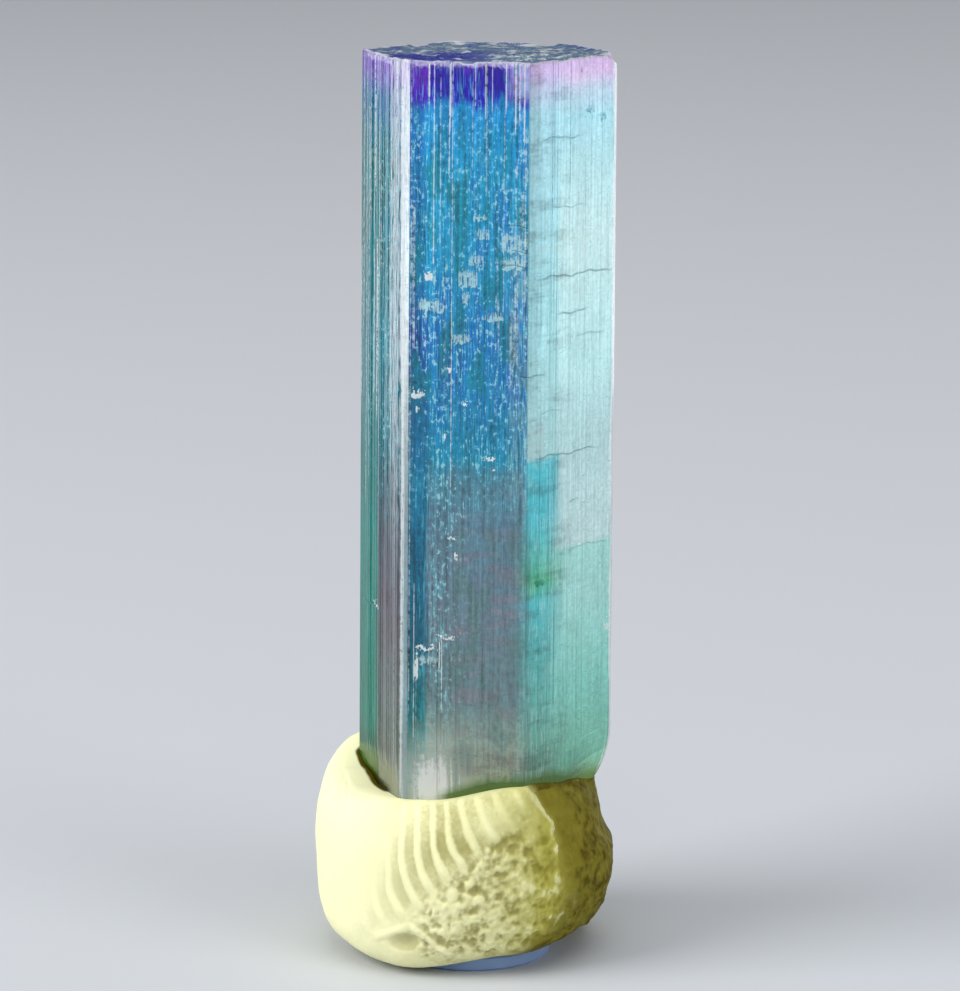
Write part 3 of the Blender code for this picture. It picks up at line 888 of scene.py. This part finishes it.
def dents(x, z):  # a dent with a brow on each side, and a small ring
    *place, depth = putty["dent"]
    raised = -depth * (1 - smooth(0.2, 1, inEllipse(x, z, *place)))
    for middle, height, slope, crest, edge, ends, rise in putty["brows"]:
        away = abs(z - height - (x - middle) * slope)
        raised += rise * (1 - smooth(crest, edge, away)) * between(*ends, x)
    *place, depth = putty["nick"]
    return raised - depth * between(0.5, 0.9, 1.1, 1.6, inEllipse(x, z, *place))


def puttyRelief(side, azimuths):  # ridges, lumps, dents and pores, outwards from the smooth side
    x, z = side[..., 0], side[..., 2]
    wander = 0.07 * grain(side, 1.1, 2, seed=8)
    facing = abs(azimuths) < 90
    (breakX, breakZ, slope), (fromX, fromZ, lean) = putty["ridgesBreak"], putty["ridgesFrom"]
    broken = smooth(-0.3, 0.5, (x - breakX) * slope - (z - breakZ) + 3 * wander)
    left = smooth(-0.35, 0.35, x - fromX - lean * (z - fromZ))
    high = 1 - 0.55 * smooth(4.4, 5.6, z)
    raised = putty["ridgeRelief"] * fingerRidges(x + wander, z) * left * (1 - broken) * high * facing
    crumple = 0.25 - 1.2 * abs(grain(side, putty["netCell"], 2, seed=9)) + grain(side, 0.42, 3, seed=19)
    crumple -= 0.7 * smooth(0.15, 0.5, grain(side, 0.5, 2, seed=17))
    crumple = putty["netRelief"] * crumple + 0.025 * grain(side, 0.17, 2, seed=15)
    calm = (1 - 0.7 * smooth(4.4, 5.6, z)) * smooth(0.5, 1.2, z) * smooth(-2.3, -1.2, x)
    raised += crumple * broken * between(-50, -30, 60, 100, azimuths) * calm
    raised += 0.035 * grain(side, 1.4, 2, seed=10) + 0.008 * grain(side, 0.13, 2, seed=11)
    raised += dents(x, z) * facing

    # A thin lip along the fold, and a step down right of it
    past = pastFold(side, azimuths)
    lip = putty["lip"] * (1 - smooth(0.03, 0.12, abs(past + 0.04)))
    step = lip - putty["letIn"] * between(-0.02, 0.12, 0.3, 1, past)
    raised += step * smooth(3, 4.4, z) * facing

    # The back is rolled and dented, without the finger marks
    behind = smooth(85, 125, abs(azimuths)) * smooth(0.4, 1, z)
    rolled = 0.3 * abs(grain(side, 0.9, 2, seed=20)) - 0.1 * grain(side, 0.33, 2, seed=21)
    return raised - 0.18 * rolled * behind * (1 - 0.6 * smooth(5.2, 6, z))


def puttyMesh():
    azimuths = np.concatenate([np.arange(-75, 70, 0.5), np.arange(70, 285, 1.25)])
    axis = (axisX, axisY)
    across = outwards(azimuths)
    tilts = np.linspace(-90, 90, putty["levels"])
    side = []
    for tilt in tilts:
        reach, height = lumpSide(azimuths, float(tilt))
        side.append(ring(across * reach[:, None] + axis, height))
    side = np.array(side)
    around = np.roll(side, -1, 1) - np.roll(side, 1, 1)
    normal = np.cross(around, np.gradient(side, axis=0))
    normal /= np.maximum(np.linalg.norm(normal, axis=-1, keepdims=True), 1e-9)
    turns = turnBetween(azimuths, 0)
    raised = puttyRelief(side, turns)
    raised = raised * (1 - smooth(72, 90, abs(tilts)))[:, None]
    side += normal * raised[..., None]

    # The socket round the crystal's foot, and the hollow round the disc
    rim = roundTrip(putty["rimHeight"], azimuths)
    socket = []
    for share in (1, 0.95, 0.85, 0.6, 0.3, 0):
        above = (rim - crystalFoot) * share
        reach = prismRadius(azimuths, above) + 0.01
        socket.append(ring(across * reach[:, None] + axis, crystalFoot + above - 0.03 * (1 - share)))
    floor = crystalFoot - 0.03
    socket.append(ring(across * 1.2 + axis, floor))
    hollow, flat = across * putty["hollow"], putty["hollowTop"]
    lip = ring(hollow + (side[0, :, :2] - hollow) * 0.1, np.minimum(flat, side[0, :, 2]))
    under = [ring(hollow * 0.5, flat), ring(hollow, flat), lip]
    rings = np.concatenate([under, side, socket])
    mesh = skin("puttyLump", rings, (0, 0, flat), (*axis, floor))

    relief = np.zeros(rings.shape[:2])
    start, end = len(under), len(under) + len(side)
    relief[start:end] = raised
    mark(mesh, "relief", relief)
    # Painted shade right of the fold, and along the foot of the left face
    spread = 1 - smooth(2.9, 4.3, rings[..., 2])  # the fold fades low down
    dark = smooth(-0.05 - 0.3 * spread, 0.22 + 0.75 * spread, pastFold(rings, turns))
    dark = dark * (1 - smooth(88, 125, turns))
    gap = 2 * between(-106, -100, -62, -54, turns)  # painted shade: a dark line along the foot of the left face
    dark[end - 1:] = np.maximum(dark[end - 1:], gap)
    mark(mesh, "paintedShade", dark)
    return mesh


puttyLook = dict(
    cream=(242, 240, 196),
    # Colour from left to right, at each x, darker to the right as painted shade
    across=[(-3.8, 242, 240, 194), (-1.5, 234, 232, 182), (0.6, 216, 214, 160), (2.4, 172, 168, 80)],
    hollow=(130, 122, 40),
    shadowSide=(74, 64, 0),
)


def puttyFinish():
    look = Shading("displayPutty", puttyLook)
    slope = look.slope
    speck = look.noise(look.place, 7, 3, 0.6)
    mottle = look.noise(look.place, 2.2, 2, 0.6)
    # painted shade, growing towards the right
    colour = look.colours(look.x, puttyLook["across"])
    # Painted shade over the side pressed flat, right of the fold, patchy and growing towards the right
    shadeAwayFromLight = slope(look.x + look.y * 0.5, 0.4, 3.2)
    patchy = look.math("MULTIPLY_ADD", mottle, -1.1, 1.5, clamp=True)
    dark = look.math("MULTIPLY", look.either(look.marked("paintedShade"), shadeAwayFromLight * 0.5), patchy, clamp=True)
    # Painted shade in the hollows, most of all on the side away from the light, and a painted highlight on
    # the tops
    deep = speck * -0.04 + (look.marked("relief") + 0.02)
    hollow = slope(deep, 0.02, -0.06) * slope(look.x, -4, -0.6) * 0.7
    high = slope(deep, 0.015, 0.06) * slope(dark, 0.9, 0.3) * 0.4
    colour = look.tint(colour, shadowSide=dark, hollow=hollow, cream=high)
    look.set(Base_Color=colour, Roughness=0.6, IOR=1.5, Specular_IOR_Level=0.06)
    look.set(Subsurface_Weight=0.2, Subsurface_Radius=(0.9, 0.75, 0.3), Subsurface_Scale=0.0004)
    look.set(Normal=look.bump(speck, 0.3, 0.03))
    return look.material


lump = addPiece("puttyLump", puttyMesh(), puttyFinish(), 60)
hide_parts("putty")
print("putty:", len(lump.data.polygons), "faces")


# The disc under the putty, which keeps its shape and gets a cloudy clear look
discLook = dict(thin=(136, 180, 250), milky=(180, 212, 255))


def discFinish():
    look = Shading("frostedDisc")
    cloud = look.noise(look.place, 1.2, 3, 0.5)
    colour = look.blend(cloud, linear(discLook["thin"]), linear(discLook["milky"]))
    look.set(Base_Color=colour, Roughness=0.28, IOR=1.49, Transmission_Weight=0.55)
    return look.material


disc = bpy.data.objects["base_disc"]
disc.data.materials.clear()
disc.data.materials.append(discFinish())
print("disc: cloudy clear look")


# Plain pale floor, soft light and camera
studio = dict(
    camera=(0.3, -134.2, 41.4),
    tiltDown=11,
    lens=152.8,
    floor=(196, 199, 204),
    # Softboxes: azimuth, elevation, distance, width, height, watts
    keyLight=(-66, 34, 520, 330, 330, 2.25),
    topLight=(20, 70, 900, 700, 700, 3.2),
    fillLight=(50, 16, 520, 300, 300, 1),
    backLeft=(-121, 5, 95, 60, 44, 0.0112),
    backRight=(136, 5, 95, 100, 44, 0.012),
    onSpecimen=("backLeft", "backRight"),  # these leave the floor unlit
    world=0.38,
    worldColour=(0.93, 0.96, 1),
)


def addCamera():
    camera = addObject("camera", bpy.data.cameras.new("camera"))
    camera.location = Vector(studio["camera"]) * mm
    camera.rotation_euler = (math.radians(90 - studio["tiltDown"]), 0, 0)
    camera.data.lens = studio["lens"]
    camera.data.clip_start = 0.01
    scene.camera = camera


def addSoftbox(name):
    azimuth, elevation, distance, width, height, watts = studio[name]
    data = bpy.data.lights.new(name, "AREA")
    data.shape = "RECTANGLE"
    data.size, data.size_y = width * mm, height * mm
    data.energy = watts
    box = addObject(name, data)
    turn, climb = math.radians(azimuth), math.radians(elevation)
    aim = Vector((math.sin(turn) * math.cos(climb), -math.cos(turn) * math.cos(climb), math.sin(climb)))
    box.location = Vector((0, 0, 15 * mm)) + aim * distance * mm
    box.rotation_euler = aim.to_track_quat("Z", "Y").to_euler()


def lightOnly(names, pieces):  # the named lights reach only these pieces
    lit = bpy.data.collections.new("specimen")
    for piece in pieces:
        lit.objects.link(piece)
    for name in names:
        bpy.data.objects[name].light_linking.receiver_collection = lit


def addFloor():
    mesh = bpy.data.meshes.new("floor")
    reach = 1.5  # metres
    corners = [(x * reach, y * reach, 0) for x, y in ((-1, -1), (1, -1), (1, 1), (-1, 1))]
    mesh.from_pydata(corners, [], [(0, 1, 2, 3)])
    look = Shading("paleFloor")
    look.set(Base_Color=linear(studio["floor"]), Roughness=0.7)
    mesh.materials.append(look.material)
    floor = addObject("floor", mesh)


addCamera()
addFloor()
for name in ("keyLight", "topLight", "fillLight", "backLeft", "backRight"):
    addSoftbox(name)
lightOnly(studio["onSpecimen"], (body, lump, disc))
world = bpy.data.worlds.new("studio")
world.use_nodes = True
sky = world.node_tree.nodes["Background"]
sky.inputs["Color"].default_value = (*studio["worldColour"], 1)
sky.inputs["Strength"].default_value = studio["world"]
scene.world = world
scene.view_settings.view_transform = "Standard"
print("studio: floor, five softboxes and camera")
